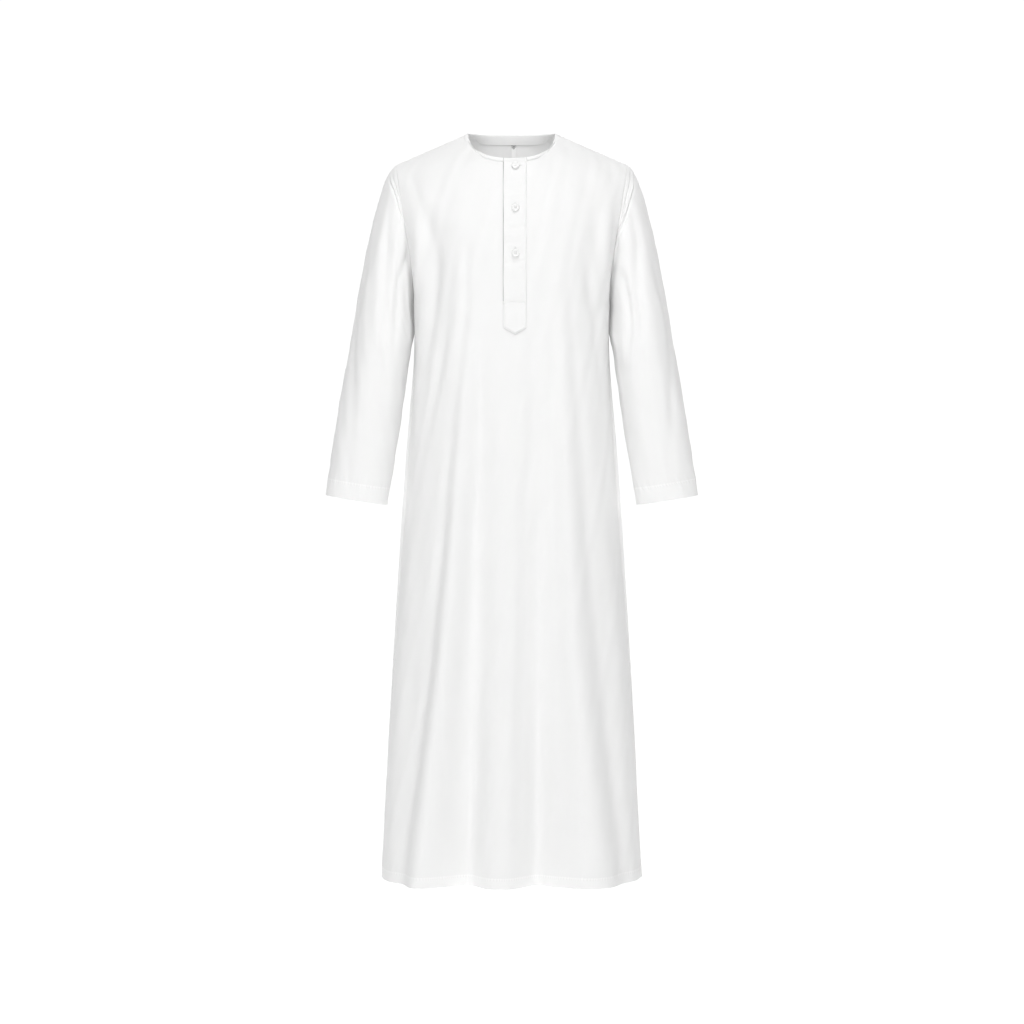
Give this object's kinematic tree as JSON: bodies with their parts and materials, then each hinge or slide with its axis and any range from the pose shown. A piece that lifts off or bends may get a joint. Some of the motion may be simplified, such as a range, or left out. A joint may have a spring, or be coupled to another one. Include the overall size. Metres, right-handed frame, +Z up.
{
  "type": "thobe robe",
  "caption": "Man's long straight robe with a round collarless neck, a buttoned chest placket and long straight set-in sleeves, filled out as if worn.",
  "frame": {"origin": "midway between the shoulders at the middle height of the shoulder seams, where the robe rests on its wearer", "axes": "+Z up, the wearer faces -Y, +X to the wearer's left"},
  "size_m": [0.7148, 0.3208, 1.4122],
  "materials": {
    "robe_cloth": "plain white woven cloth, soft satin sheen",
    "binding_tape": "white bias binding and tape",
    "button_white": "white shirt button, semi-gloss"
  },
  "bodies": {
    "root": {"front": "robe_cloth", "back": "robe_cloth", "sleeve_right": "robe_cloth", "sleeve_left": "robe_cloth", "placket": "robe_cloth", "placket_underlap": "robe_cloth", "neck_band": "binding_tape", "hanging_loop": "binding_tape", "button_top": "button_white", "button_middle": "button_white", "button_bottom": "button_white"}
  },
  "joints": []
}
